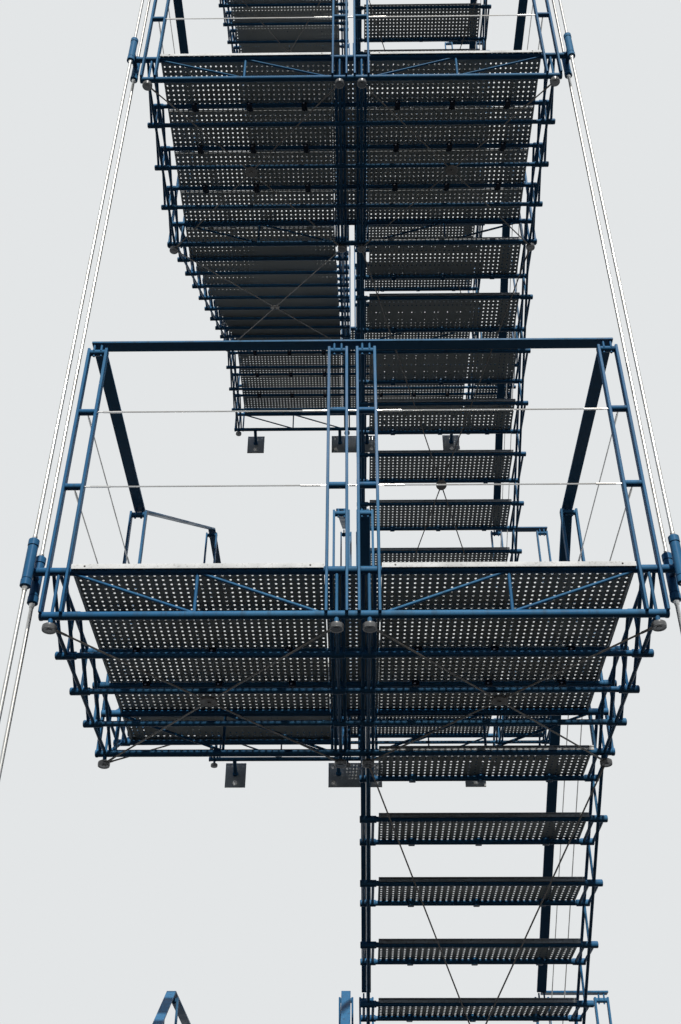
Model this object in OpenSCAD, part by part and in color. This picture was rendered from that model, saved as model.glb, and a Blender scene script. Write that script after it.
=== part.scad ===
// Fire escape stair: two flights side by side that turn at landings, made of
// slender tubular trusses with perforated treads. The inner landings are fixed
// to a wall, and the outer landings hang from twin rods at their front corners.
// The origin is on the back face of the lowest middle wall plate, +Y points
// into the wall and +Z points up.

/* [Steps] */
// Height of one step
riser = 190; // [170:5:200]
// Depth of one step
going = 282; // [260:2:300]
// Steps in a flight between two landings
flight_steps = 9; // [8:1:10]
// Steps in the lowest flight, from the ground up
first_steps = 12; // [10:1:13]
// Outer landings, which hang from the rods
outer_landings = 3; // [1:1:3]

/* [Frame] */
// Distance from the middle to the outer side trusses
side_x = 1096; // [950:2:1150]
// Distance from the middle to the two middle side trusses
middle_x = 60; // [55:1:80]
// Distance between the twin slanting bars of a side truss
twin_gap = 44; // [36:1:56]
// Depth of the trusses, from top tube to bottom tube
truss_h = 195; // [170:1:220]
// Diameter of the front and rear tubes
chord_d = 32; // [28:1:40]
// Diameter of the cross tubes between them
cross_d = 24; // [20:1:28]
// Diameter of the lengthwise bars
bar_d = 15; // [12:1:18]

/* [Guards] */
// Height of the handrail above the top tubes
rail_h = 1184; // [900:2:1250]
// Width of the flat handrail
rail_w = 50; // [40:1:60]
// Thickness of the flat handrail
rail_t = 12; // [8:1:20]
// Thickness of the flat bars of the twin guard posts
post_w = 12; // [8:1:16]
// Depth of those flat bars
post_t = 30; // [26:1:40]
// Distance between the two bars of a guard post
post_gap = 75; // [64:1:84]
// Diameter of the guard wires
wire_d = 6; // [4:1:8]

/* [Hangers and wall] */
// Diameter of the hanger rods
rod_d = 15; // [10:1:20]
// Distance from the middle to the hanger rods
rod_x = 1194; // [1180:2:1300]
// Length of the sleeves that the rods pass through
sleeve_l = 212; // [160:4:260]
// Diameter of the sleeves
sleeve_d = 38; // [34:1:50]
// Distance from the rear tube to the wall
wall_gap = 150; // [110:5:260]

/* [Hidden] */
landing_goings = 4;
landing_d = landing_goings * going;
half_storey = flight_steps * riser;
inner_y = landing_d + flight_steps * going;
wall_y = inner_y + landing_d + wall_gap;
outer_levels = [for (k = [0 : outer_landings - 1]) k * 2 * half_storey];
inner_levels = [for (k = [0 : outer_landings]) (2 * k - 1) * half_storey];
flight_count = 2 * outer_landings + 1;
ground_z = inner_levels[0] - first_steps * riser;
top_z = outer_levels[outer_landings - 1];

half_w = side_x + 42;
truss_xs = [-side_x, -middle_x, middle_x, side_x];
landing_x = 1490;
end_truss_x = landing_x - 40;
flight_x = side_x - 6;
twin_offsets = [-twin_gap / 2, twin_gap / 2];
upright_d = bar_d - 3;
twin_d = bar_d - 1;
seat = chord_d / 2 - 3;
block_in = 38;
block_d = cross_d + 8;
upper_over = 26;
lower_over = 40;

plate_t = 3;
lip_h = 20;
lip_out = chord_d / 2 + plate_t;
deck_z = lip_out;
tread_side_h = deck_z - (cross_d - 1) / 2 * cos(30);
plank_gap = 4;
plank_seam = 22;
tread_x = (side_x + middle_x) / 2;
tread_w = side_x - middle_x - 96;
hook = 18;
cross_drop = lip_h - deck_z + cross_d / 2 * cos(30);

spacer_d = 28;
stud_d = 9;
stud_gap = 31;
seam = 1;
wire_heights = [rail_h / 3, rail_h * 2 / 3];
post_top = rail_h - rail_t - 22;
tie_top = post_top - 16;
post_y = chord_d / 2 - 2;
post_out = (post_gap + post_w) / 2;
post_base = chord_d / 2 * cos(22.5) - truss_h;

rod_y = 58;
arm_d = 26;
collar_h = 30;
collar_step = 1.5;
neck_h = 16;
stub_h = 33;
disc_d = 52;
disc_h = 30;
brace_drop = truss_h + stub_h + disc_h / 2;
brace_d = 8;
hub_d = 70;
hub_h = 12;

plate_h = 200;
middle_plate_w = 420;
side_plate_w = 160;
wall_plate_t = 14;
bolt_d = 18;
bolt_dx = 340;
bolt_dz = 130;
bracket_x = 940;
bracket_drop = 70;
bracket_d = 30;
foot_w = 200;
foot_t = 16;
newel_y = going - 50;
origin_z = inner_levels[0] - truss_h - bracket_drop;

// Moves what is drawn in stair coordinates to the part's own origin.
module placed() translate([0, -wall_y, -origin_z]) children();

// The point t away from a on the way to b.
function toward(a, b, t) = a + t * (b - a) / norm(b - a);

// A straight bar from point a to point b, of diameter d and with n sides.
module bar(a, b, d, n = 4) {
    v = b - a;
    translate(a)
        rotate([0, acos(v.z / norm(v)), atan2(v.y, v.x)])
            rotate(180 / n) cylinder(h = norm(v), d = d, $fn = n);
}

// A tube across the stair, between the two x values in span.
module cross_tube(y, z, d, span, n = 6) bar([span[0], y, z], [span[1], y, z], d, n);

// The front or rear truss of a landing: two tubes, and in each bay one upright
// and two slanting bars that run parallel.
module edge_truss(y, top_span, low_span) {
    cross_tube(y, 0, chord_d, top_span, 8);
    cross_tube(y, -truss_h, chord_d, low_span, 8);
    for (s = [-1, 1]) {
        bar([s * tread_x, y, 0], [s * tread_x, y, -truss_h], bar_d);
        bar([s * (side_x - 60), y, 0], [s * (tread_x + 30), y, -truss_h], bar_d);
        bar([s * (tread_x - 30), y, 0], [s * (middle_x + 60), y, -truss_h], bar_d);
    }
}

// A side truss of a landing: two lengthwise bars with an upright at every cross
// tube, and twin slanting bars on both sides of them in each bay.
module landing_side(x) {
    for (z = [0, -truss_h]) bar([x, 0, z], [x, landing_d, z], bar_d);
    for (j = [0 : landing_goings]) bar([x, j * going, 0], [x, j * going, -truss_h], upright_d);
    for (o = twin_offsets, j = [0 : landing_goings - 1])
        bar([x + o, j * going, 0], [x + o, (j + 1) * going, -truss_h], twin_d);
}

// The round foot below each corner and middle of a landing's edge tubes, where
// the braces of the underside meet.
module node_foot(x, y)
    translate([x, y, -truss_h - stub_h]) {
        cylinder(h = stub_h, d = bar_d + 3, $fn = 24);
        translate([0, 0, -disc_h]) rotate_extrude($fn = 24)
            polygon([[0, 0], [disc_d / 2, 0], [disc_d / 2, disc_h - 8], [bar_d, disc_h], [0, disc_h]]);
    }

module landing_frame(front_span, low_span) {
    edge_truss(0, front_span, low_span);
    edge_truss(landing_d, low_span, low_span);
    for (j = [1 : landing_goings - 1]) {
        cross_tube(j * going, -cross_drop, cross_d, low_span + [20, -20]);
        cross_tube(j * going, -truss_h, cross_d, low_span);
    }
    for (x = truss_xs) {
        landing_side(x);
        for (y = [0, landing_d]) node_foot(x, y);
    }
}

// A rod sleeve with a collar and a neck at both ends, bored for the rod.
module sleeve() {
    end = sleeve_l / 2;
    r = sleeve_d / 2;
    bore = rod_d / 2;
    wide = r + collar_step;
    half = [[r, end - collar_h], [wide, end - collar_h + collar_step], [wide, end - 3], [r - 1, end],
        [bore + 4, end], [bore + 2, end + neck_h], [bore, end + neck_h]];
    rotate_extrude($fn = 24) polygon(concat(half, [for (i = [len(half) - 1 : -1 : 0]) [half[i].x, -half[i].y]]));
}

// A pair of sleeves at each front corner, joined across the end of the top tube.
module rod_sleeves()
    for (s = [-1, 1], t = [-1, 1]) {
        bar([s * rod_x, 0, 0], [s * rod_x, t * (rod_y - rod_d / 2 - 2), 0], arm_d, 8);
        translate([s * rod_x, t * rod_y, 0]) sleeve();
    }

// The arms that reach from a landing's rear truss to the wall plates.
module wall_arms()
    for (x = [-bracket_x, -130, 130, bracket_x])
        bar([x, landing_d, -truss_h], [x, landing_d + wall_gap - wall_plate_t, -truss_h - bracket_drop],
            bracket_d, 8);

// A plank: a thin plate with its edges folded down, and less so at its ends
// where side_h is under the height of the front lip.
module plank(x, y, w, d, side_h = lip_h)
    translate([x - w / 2, y, deck_z - lip_h]) difference() {
        cube([w, d, lip_h]);
        translate([plate_t, plate_t, -1]) cube([w - 2 * plate_t, d - 2 * plate_t, lip_h + 1 - plate_t]);
        translate([-1, plate_t, -1]) cube([w + 2, d - 2 * plate_t, lip_h + 1 - side_h]);
    }

// The planks of a landing, which meet just behind the cross tubes. The front
// lips hang over the front tube, except in the middle and at the end, where
// guard posts stand.
module landing_deck(with_end) {
    for (j = [0 : landing_goings - 1]) {
        front = j * going + plank_seam + plank_gap / 2;
        rear = (j + 1) * going + plank_seam - plank_gap / 2;
        side_front = j == 0 ? -lip_out : front;
        post_front = j == 0 ? plank_gap / 2 : front;
        post_rear = min(rear, landing_d - plank_gap / 2);
        for (x = [-tread_x, tread_x]) plank(x, side_front, tread_w, rear - side_front);
        plank(0, post_front, 2 * tread_x - tread_w - 2 * plank_gap, post_rear - post_front);
        if (with_end)
            plank((half_w + landing_x) / 2 + 4, post_front, landing_x - half_w - 8, rear - post_front);
    }
}

// The two flat bars of a post from z = base up, with short tubes between them
// and two studs that carry the handrail.
module post_pair(y, base) {
    tie = (post_gap - post_w) / 2 + 1;
    for (o = [-post_gap / 2, post_gap / 2])
        translate([o - post_w / 2, y - post_t / 2, base]) cube([post_w, post_t, post_top - base]);
    for (h = concat(wire_heights, [tie_top])) bar([-tie, y, h], [tie, y, h], spacer_d, 6);
    for (o = [-stud_gap / 2, stud_gap / 2])
        translate([o, y, tie_top]) cylinder(h = rail_h - rail_t - tie_top, d = stud_d, $fn = 4);
}

// A guard post on the bottom edge tube at y = edge, notched over the top one. It
// stands in front of the tubes where side is -1 and behind them where side is 1.
module twin_posts(x, edge, side) translate([x, edge, 0]) difference() {
    post_pair(side * post_y, post_base);
    cross_tube(0, 0, chord_d, [-post_gap, post_gap], 8);
}

module outer_posts()
    for (x = truss_xs) {
        twin_posts(x, 0, -1);
        twin_posts(x, landing_d, 1);
    }

module inner_posts() {
    for (x = truss_xs) twin_posts(x, 0, -1);
    twin_posts(-side_x, landing_d, 1);
    twin_posts(landing_x - post_out, 0, -1);
}

// A flat handrail from a to b, given at the level of the top tubes.
module handrail(a, b) {
    v = b - a;
    translate([a.x, a.y, a.z + rail_h - rail_t])
        rotate([0, 0, atan2(v.y, v.x) - 90])
            rotate([atan2(v.z, norm([v.x, v.y])), 0, 0])
                translate([-rail_w / 2, 0, 0]) cube([rail_w, norm(v), rail_t]);
}

module wires(a, b) for (h = wire_heights) bar(a + [0, 0, h], b + [0, 0, h], wire_d);

module outer_rails() {
    reach = side_x + rail_w / 2;
    handrail([-reach, -post_y, 0], [reach, -post_y, 0]);
    wires([post_out - middle_x, -post_y, 0], [middle_x - post_out, -post_y, 0]);
    for (s = [-1, 1]) {
        handrail([s * side_x, rail_w / 2 - post_y + seam, 0], [s * side_x, landing_d + post_y, 0]);
        wires([s * (middle_x + post_out), -post_y, 0], [s * (side_x - post_out), -post_y, 0]);
        wires([s * side_x, spacer_d / 2 - post_y, 0], [s * side_x, landing_d + post_y - spacer_d / 2, 0]);
    }
}

module inner_rails() {
    handrail([-side_x, -post_y, 0], [-side_x, landing_d + post_y, 0]);
    handrail([side_x, -post_y, 0], [landing_x, -post_y, 0]);
    wires([-side_x, spacer_d / 2 - post_y, 0], [-side_x, landing_d + post_y - spacer_d / 2, 0]);
    wires([side_x + post_out, -post_y, 0], [landing_x - 2 * post_out, -post_y, 0]);
}

// A flight in its own plane: step j is at y = j going and z = j riser.
function upper(x, j) = [x, j * going, j * riser];
function lower(x, j) = [x, j * going, j * riser - truss_h];

// One side truss of a flight, from node first to node steps, with a block on
// the inner end of each cross tube. It stands on a foot plate where first is 1.
module stringer(x, first, steps, over_top, over_low) {
    top = [upper(x, first), upper(x, steps)];
    foot = [x, (foot_t + truss_h) * going / riser, foot_t];
    low = [first == 0 ? toward(lower(x, 0), lower(x, steps), seat) : foot,
        toward(lower(x, steps), lower(x, 0), seat)];
    bar(toward(top[0], top[1], seat), toward(top[1], top[0], seat), bar_d);
    bar(low[0], low[1], bar_d);
    if (first == 1) bar(upper(x, 1), [x, going, foot_t], upright_d);
    for (j = [1 : steps - 1]) bar(upper(x - block_in, j), upper(x + over_top, j), block_d, 6);
    for (j = [first + 1 : steps - 1]) {
        bar(upper(x, j), lower(x, j), upright_d);
        bar(lower(x - block_in, j), lower(x + over_low, j), block_d, 6);
    }
    for (o = twin_offsets, j = [first : steps - 1]) {
        a = upper(x + o, j);
        b = lower(x + o, j + 1);
        bar(toward(a, b, j == 0 ? seat : 0), toward(b, a, j == steps - 1 ? seat : 0), twin_d);
    }
}

module stringers(first, steps) {
    stringer(middle_x, first, steps, block_in, block_in);
    stringer(flight_x, first, steps, upper_over, lower_over);
}

// A tread with the two tubes that carry it. A landing's edge tubes take their
// place at both ends of a flight.
module tread(j, steps) {
    a = middle_x + block_in;
    b = flight_x - block_in;
    front = j == 0 ? plank_seam + plank_gap / 2 : -hook;
    if (j > 0) bar(upper(a, j), upper(b, j), cross_d, 6);
    if (j < steps - 1) bar(lower(a, j + 1), lower(b, j + 1), cross_d, 6);
    translate([0, j * going, j * riser]) plank(tread_x, front, tread_w, going + hook - front,
        j == 0 ? lip_h : tread_side_h);
}

module treads(first, steps) for (j = [first : steps - 1]) tread(j, steps);

module flight_rails(first, steps)
    for (x = [middle_x, side_x]) {
        handrail(upper(x, first) + [0, rail_w / 2, 0], upper(x, steps) - [0, rail_w / 2, 0]);
        wires(upper(x, first) + [0, spacer_d / 2, 0], upper(x, steps) - [0, spacer_d / 2, 0]);
    }

// The twin posts that end the rails at the foot of the lowest flight.
module newel(x) translate([x, newel_y, riser]) post_pair(0, foot_t - riser);

// Puts a flight in its place. Even flights rise away from the front on the
// left, and odd ones come back to the front on the right.
module at_flight(k) {
    if (k == 0)
        translate([0, inner_y - first_steps * going, ground_z]) mirror([1, 0, 0]) children();
    else if (k % 2 == 0)
        translate([0, landing_d, (k - 2) * half_storey]) mirror([1, 0, 0]) children();
    else
        translate([0, inner_y, (k - 2) * half_storey]) mirror([0, 1, 0]) children();
}

function first_of(k) = k == 0 ? 1 : 0;
function steps_of(k) = k == 0 ? first_steps : flight_steps;

// Four rods between the round feet at the corners a to b of a bay, which meet
// in a flat hub in its middle. The bay slopes with the vector b - a.
module cross_brace(a, b) {
    mid = (a + b) / 2;
    slope = atan2(b.z - a.z, b.y - a.y);
    for (x = [a.x, b.x], e = [a, b])
        bar(toward([x, e.y, e.z], mid, disc_d / 2 - 4), toward(mid, [x, e.y, e.z], hub_d / 4), brace_d);
    translate(mid) rotate([slope, 0, 0]) translate([0, 0, -hub_h / 2]) cylinder(h = hub_h, d = hub_d, $fn = 24);
}

module underside_braces()
    color("silver") placed() {
        for (level = outer_levels, s = [-1, 1])
            cross_brace([s * middle_x, 0, level - brace_drop], [s * side_x, landing_d, level - brace_drop]);
        for (k = [1 : flight_count - 1])
            at_flight(k)
                cross_brace([middle_x, 0, -brace_drop], [side_x, flight_steps * going, half_storey - brace_drop]);
    }

module hanger_rods()
    color("silver") placed()
        for (s = [-1, 1], t = [-1, 1])
            translate([s * rod_x, t * rod_y, ground_z])
                cylinder(h = top_z - ground_z + sleeve_l / 2 + 60, d = rod_d, $fn = 24);

module wall_plate(w, with_bolts) difference() {
    translate([-w / 2, 0, -plate_h / 2]) cube([w, wall_plate_t, plate_h]);
    if (with_bolts)
        for (x = [-bolt_dx / 2, bolt_dx / 2], z = [-bolt_dz / 2, bolt_dz / 2])
            translate([x, -1, z]) rotate([-90, 0, 0]) cylinder(h = wall_plate_t + 2, d = bolt_d, $fn = 24);
}

module rod_plate() difference() {
    translate([-foot_w / 2, -foot_w / 2, 0]) cube([foot_w, foot_w, foot_t]);
    for (t = [-1, 1]) translate([0, t * rod_y, -1]) cylinder(h = foot_t + 2, d = rod_d, $fn = 24);
}

// The plates that bear on the wall and on the ground.
module anchor_plates()
    color("midnightblue") placed() {
        for (level = inner_levels) translate([0, wall_y - wall_plate_t, level - truss_h - bracket_drop]) {
            wall_plate(middle_plate_w, true);
            for (s = [-1, 1]) translate([s * bracket_x, 0, 0]) wall_plate(side_plate_w, false);
        }
        for (s = [-1, 1]) translate([s * rod_x, 0, ground_z]) rod_plate();
        at_flight(0)
            for (x = [middle_x, flight_x])
                translate([x - foot_w / 4, newel_y - foot_w / 4, 0]) cube([foot_w / 2, foot_w, foot_t]);
    }

module outer_frame(k) color("steelblue") placed() translate([0, 0, outer_levels[k - 1]]) {
    landing_frame([-rod_x, rod_x], [-half_w, half_w]);
    rod_sleeves();
}
module outer_deck(k) color("gray") placed() translate([0, 0, outer_levels[k - 1]]) landing_deck(false);
module outer_posts_at(k) color("steelblue") placed() translate([0, 0, outer_levels[k - 1]]) outer_posts();
module inner_frame(k) color("steelblue") placed() translate([0, inner_y, inner_levels[k - 1]]) {
    landing_frame([-half_w, landing_x], [-half_w, landing_x]);
    landing_side(end_truss_x);
    wall_arms();
}
module inner_deck(k) color("gray") placed() translate([0, inner_y, inner_levels[k - 1]]) landing_deck(true);
module inner_posts_at(k) color("steelblue") placed() {
    translate([0, inner_y, inner_levels[k - 1]]) inner_posts();
    if (k == 1) at_flight(0) for (x = [middle_x, side_x]) newel(x);
}
// The rails of flight k and of the landing at its top.
module rails(k) color("steelblue") placed() {
    at_flight(k - 1) flight_rails(first_of(k - 1), steps_of(k - 1));
    if (k % 2 == 0) translate([0, 0, outer_levels[k / 2 - 1]]) outer_rails();
    else translate([0, inner_y, inner_levels[(k - 1) / 2]]) inner_rails();
}

for (k = [1 : outer_landings]) {
    outer_frame(k);
    outer_deck(k);
    outer_posts_at(k);
}
for (k = [1 : outer_landings + 1]) {
    inner_frame(k);
    inner_deck(k);
    inner_posts_at(k);
}
for (k = [1 : flight_count]) {
    color("gray") placed() at_flight(k - 1) treads(first_of(k - 1), steps_of(k - 1));
    color("steelblue") placed() at_flight(k - 1) stringers(first_of(k - 1), steps_of(k - 1));
    rails(k);
}
hanger_rods();
underside_braces();
anchor_plates();
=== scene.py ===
import math
import bmesh
import bpy
from mathutils import Matrix, Vector


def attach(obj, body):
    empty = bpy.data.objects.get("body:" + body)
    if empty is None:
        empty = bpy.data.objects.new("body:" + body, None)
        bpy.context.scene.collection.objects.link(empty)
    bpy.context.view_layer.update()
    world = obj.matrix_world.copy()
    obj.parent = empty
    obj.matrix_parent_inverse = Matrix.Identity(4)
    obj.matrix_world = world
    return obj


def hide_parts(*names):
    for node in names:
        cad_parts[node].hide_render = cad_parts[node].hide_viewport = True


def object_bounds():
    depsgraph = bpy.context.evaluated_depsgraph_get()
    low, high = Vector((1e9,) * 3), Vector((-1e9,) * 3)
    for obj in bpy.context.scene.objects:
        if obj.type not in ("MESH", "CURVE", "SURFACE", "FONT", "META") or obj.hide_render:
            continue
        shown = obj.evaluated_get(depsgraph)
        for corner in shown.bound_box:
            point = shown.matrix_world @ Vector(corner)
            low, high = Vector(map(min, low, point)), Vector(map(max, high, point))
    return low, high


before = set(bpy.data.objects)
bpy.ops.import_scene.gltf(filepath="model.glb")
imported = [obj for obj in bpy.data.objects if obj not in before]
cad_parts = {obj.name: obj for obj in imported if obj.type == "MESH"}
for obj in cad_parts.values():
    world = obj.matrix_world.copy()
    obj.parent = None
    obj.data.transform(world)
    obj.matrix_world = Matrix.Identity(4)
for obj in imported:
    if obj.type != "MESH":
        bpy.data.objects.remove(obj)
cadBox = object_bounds()
print("stage: frame loaded")

# The stair's own driving sizes, in metres. Stair coordinates start at the front
# tube of the lowest outer landing, with Y towards the wall.
stair = {
    "riser": 0.190,
    "going": 0.282,
    "flightSteps": 9,
    "firstSteps": 12,
    "landingGoings": 4,
    "outerLandings": 3,
    "sideX": 1.096,
    "middleX": 0.060,
    "flightX": 1.090,
    "halfWidth": 1.138,
    "endTrussX": 1.450,
    "endX": 1.490,
    "trussDepth": 0.195,
    "wallGap": 0.150,
    "bracketDrop": 0.070,
}
riser = stair["riser"]
going = stair["going"]
trussDepth = stair["trussDepth"]
landingDepth = stair["landingGoings"] * going
flightRun = stair["flightSteps"] * going
halfStorey = stair["flightSteps"] * riser
innerY = landingDepth + flightRun
wallY = innerY + landingDepth + stair["wallGap"]
groundZ = -halfStorey - stair["firstSteps"] * riser
flightCount = 2 * stair["outerLandings"] + 1
bayX = (stair["sideX"] + stair["middleX"]) / 2
trussXs = [-stair["sideX"], -stair["middleX"], stair["middleX"], stair["sideX"]]
origin = Matrix.Translation((0, -wallY, halfStorey + trussDepth + stair["bracketDrop"]))


def outerPlace(k):
    return origin @ Matrix.Translation((0, 0, (k - 1) * 2 * halfStorey))


def innerPlace(k):
    return origin @ Matrix.Translation((0, innerY, (2 * k - 3) * halfStorey))


def flightPlace(k):
    acrossX = Matrix.Scale(-1, 4, (1, 0, 0))
    acrossY = Matrix.Scale(-1, 4, (0, 1, 0))
    if k == 1:
        return origin @ Matrix.Translation((0, innerY - stair["firstSteps"] * going, groundZ)) @ acrossX
    if k % 2:
        return origin @ Matrix.Translation((0, landingDepth, (k - 3) * halfStorey)) @ acrossX
    return origin @ Matrix.Translation((0, innerY, (k - 3) * halfStorey)) @ acrossY


outerAts = {k: outerPlace(k) for k in range(1, stair["outerLandings"] + 1)}
innerAts = {k: innerPlace(k) for k in range(1, stair["outerLandings"] + 2)}
flightAts = {k: flightPlace(k) for k in range(1, flightCount + 1)}
landingAts = [*outerAts.values(), *innerAts.values()]
landings = [("outer", k, at) for k, at in outerAts.items()]
landings += [("inner", k, at) for k, at in innerAts.items()]

# The first step and the number of steps, of the lowest flight and of the others
flightSpans = [(1, stair["firstSteps"]), (0, stair["flightSteps"])]


def addObject(name, data):
    thing = bpy.data.objects.new(name, data)
    bpy.context.scene.collection.objects.link(thing)
    return thing


# Camera, at the photograph's viewing angle
photoView = {
    "place": (0.0076, -8.5183, -0.4809),
    "turn": 0.875,
    "tilt": 127.364,
    "roll": 0.194,
    "lens": 40.896,
    "sensor": 36.0,
    "nearest": 0.05,
    "farthest": 400,
}


def makeCamera():
    data = bpy.data.cameras.new("photoCamera")
    data.lens = photoView["lens"]
    data.sensor_width = photoView["sensor"]
    data.clip_start = photoView["nearest"]
    data.clip_end = photoView["farthest"]
    camera = addObject("photoCamera", data)
    turn = Matrix.Rotation(math.radians(photoView["turn"]), 4, "Z")
    tilt = Matrix.Rotation(math.radians(photoView["tilt"]), 4, "X")
    roll = Matrix.Rotation(math.radians(photoView["roll"]), 4, "Z")
    camera.matrix_world = Matrix.Translation(photoView["place"]) @ turn @ tilt @ roll
    bpy.context.scene.camera = camera


makeCamera()


# Shader node helpers
def mathNode(tree, operation, first, second):
    node = tree.nodes.new("ShaderNodeMath")
    node.operation = operation
    for socket, value in zip(node.inputs, (first, second)):
        if isinstance(value, (int, float)):
            socket.default_value = value
        else:
            tree.links.new(value, socket)
    return node.outputs[0]


def rampNode(tree, source, low, high):
    node = tree.nodes.new("ShaderNodeMapRange")
    node.interpolation_type = "SMOOTHSTEP"
    node.inputs["From Min"].default_value = low
    node.inputs["From Max"].default_value = high
    tree.links.new(source, node.inputs["Value"])
    return node.outputs["Result"]


# The mix node's sockets 6 and 7 and its output 2 are those for colours
def mixColour(tree, factor, first, second):
    node = tree.nodes.new("ShaderNodeMix")
    node.data_type = "RGBA"
    tree.links.new(factor, node.inputs["Factor"])
    for socket, value in ((node.inputs[6], first), (node.inputs[7], second)):
        if isinstance(value, tuple):
            socket.default_value = (*value, 1)
        else:
            tree.links.new(value, socket)
    return node.outputs[2]


# Dust and rain streaks on outdoor metal: patches, runs that follow Z, and fine specks
weatherLook = {
    "patchDetail": 4,
    "patchRoughness": 0.6,
    "streakStretch": (38, 38, 1.6),
    "streakDetail": 3,
    "speckDetail": 2,
    "ranges": {"Patches": (0.38, 0.66), "Streaks": (0.45, 0.75), "Specks": (0.52, 0.78)},
}


def makeWeatherGroup():
    group = bpy.data.node_groups.new("weather", "ShaderNodeTree")
    sockets = {"INPUT": ("Patch Scale", "Speck Scale"), "OUTPUT": weatherLook["ranges"]}
    for way, names in sockets.items():
        for name in names:
            group.interface.new_socket(name=name, in_out=way, socket_type="NodeSocketFloat")
    inputs = group.nodes.new("NodeGroupInput")
    outputs = group.nodes.new("NodeGroupOutput")
    place = group.nodes.new("ShaderNodeTexCoord")
    patches = group.nodes.new("ShaderNodeTexNoise")
    patches.inputs["Detail"].default_value = weatherLook["patchDetail"]
    patches.inputs["Roughness"].default_value = weatherLook["patchRoughness"]
    group.links.new(place.outputs["Object"], patches.inputs["Vector"])
    group.links.new(inputs.outputs["Patch Scale"], patches.inputs["Scale"])
    stretch = group.nodes.new("ShaderNodeMapping")
    stretch.inputs["Scale"].default_value = weatherLook["streakStretch"]
    group.links.new(place.outputs["Object"], stretch.inputs["Vector"])
    streaks = group.nodes.new("ShaderNodeTexNoise")
    streaks.inputs["Scale"].default_value = 1
    streaks.inputs["Detail"].default_value = weatherLook["streakDetail"]
    group.links.new(stretch.outputs["Vector"], streaks.inputs["Vector"])
    specks = group.nodes.new("ShaderNodeTexNoise")
    specks.inputs["Detail"].default_value = weatherLook["speckDetail"]
    group.links.new(place.outputs["Object"], specks.inputs["Vector"])
    group.links.new(inputs.outputs["Speck Scale"], specks.inputs["Scale"])
    for noise, (name, span) in zip((patches, streaks, specks), weatherLook["ranges"].items()):
        group.links.new(rampNode(group, noise.outputs["Fac"], *span), outputs.inputs[name])
    return group


weather = makeWeatherGroup()


def addWeather(tree, patchScale, speckScale):
    node = tree.nodes.new("ShaderNodeGroup")
    node.node_tree = weather
    node.inputs["Patch Scale"].default_value = patchScale
    node.inputs["Speck Scale"].default_value = speckScale
    return node.outputs


def newMaterial(name):
    material = bpy.data.materials.new(name)
    material.use_nodes = True
    return material, material.node_tree, material.node_tree.nodes["Principled BSDF"]


# A mask of the faces that look up, with sign 1, or down, with sign -1
def facingMask(tree, sign, span, share):
    split = tree.nodes.new("ShaderNodeSeparateXYZ")
    tree.links.new(tree.nodes.new("ShaderNodeNewGeometry").outputs["Normal"], split.inputs[0])
    facing = mathNode(tree, "MULTIPLY", split.outputs["Z"], sign)
    return mathNode(tree, "MULTIPLY", rampNode(tree, facing, *span), share)


# From 0 and 1 to the low and high end of a span
def spanNode(tree, source, span):
    low, high = span
    return mathNode(tree, "ADD", mathNode(tree, "MULTIPLY", source, high - low), low)


# What every metal ends with: its colour, a roughness that follows its wear, and a fine grain
def finishMetal(tree, shader, colour, worn, roughness, grain, finish):
    tree.links.new(colour, shader.inputs["Base Color"])
    tree.links.new(spanNode(tree, worn, roughness), shader.inputs["Roughness"])
    bump = tree.nodes.new("ShaderNodeBump")
    bump.inputs["Strength"].default_value = finish["bump"]
    bump.inputs["Distance"].default_value = finish["bumpDepth"]
    tree.links.new(grain, bump.inputs["Height"])
    tree.links.new(bump.outputs["Normal"], shader.inputs["Normal"])


bluePaintLook = {
    "fresh": (0.028, 0.138, 0.300),
    "faded": (0.054, 0.186, 0.350),
    "dirt": (0.040, 0.050, 0.056),
    # The under tone is painted shade: the darker colour that the faces looking down take on
    "under": (0.012, 0.050, 0.100),
    "patchScale": 2.3,
    "speckScale": 190.0,
    "roughness": (0.34, 0.52),
}
darkPaintLook = {
    "fresh": (0.006, 0.013, 0.034),
    "faded": (0.014, 0.026, 0.055),
    "dirt": (0.028, 0.030, 0.032),
    # The under tone is painted shade: the darker colour that the faces looking down take on
    "under": (0.004, 0.007, 0.014),
    "patchScale": 2.9,
    "speckScale": 170.0,
    "roughness": (0.36, 0.50),
}


# What both paints share: how much dirt they hold, how much painted shade darkens their downward faces, and
# their gloss and grain
paintFinish = {
    "dirtShare": 0.45,
    "underShadeRange": (0.35, 0.9),
    "underShadeShare": 0.9,
    "specular": 0.07,
    "bump": 0.12,
    "bumpDepth": 0.0006,
}


def makePaint(name, look):
    material, tree, shader = newMaterial(name)
    marks = addWeather(tree, look["patchScale"], look["speckScale"])
    tone = mixColour(tree, marks["Patches"], look["fresh"], look["faded"])
    marred = mathNode(tree, "MAXIMUM", marks["Streaks"], marks["Specks"])
    dirt = mathNode(tree, "MULTIPLY", marred, paintFinish["dirtShare"])
    dirty = mixColour(tree, dirt, tone, look["dirt"])
    # Painted shade: the faces that look down are mixed towards the darker under tone
    under = facingMask(tree, -1, paintFinish["underShadeRange"], paintFinish["underShadeShare"])
    colour = mixColour(tree, under, dirty, look["under"])
    finishMetal(tree, shader, colour, marks["Patches"], look["roughness"], marks["Specks"], paintFinish)
    shader.inputs["Specular IOR Level"].default_value = paintFinish["specular"]
    return material


plateLook = {
    "clean": (0.76, 0.785, 0.79),
    "dull": (0.58, 0.60, 0.60),
    "dirt": (0.28, 0.275, 0.26),
    "walked": (0.185, 0.182, 0.174),
    # The under tone is painted shade on the faces that look down; the walked tone is dirt on the faces
    # that look up
    "under": (0.27, 0.28, 0.27),
    "patchScale": 4.0,
    "speckScale": 120.0,
    "dirtShare": 0.55,
    "facingRange": (0.6, 0.9),
    "facingShare": 0.9,
    "roughness": (0.46, 0.68),
    "specular": 0.1,
    "bump": 0.1,
    "bumpDepth": 0.0005,
}


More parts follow.
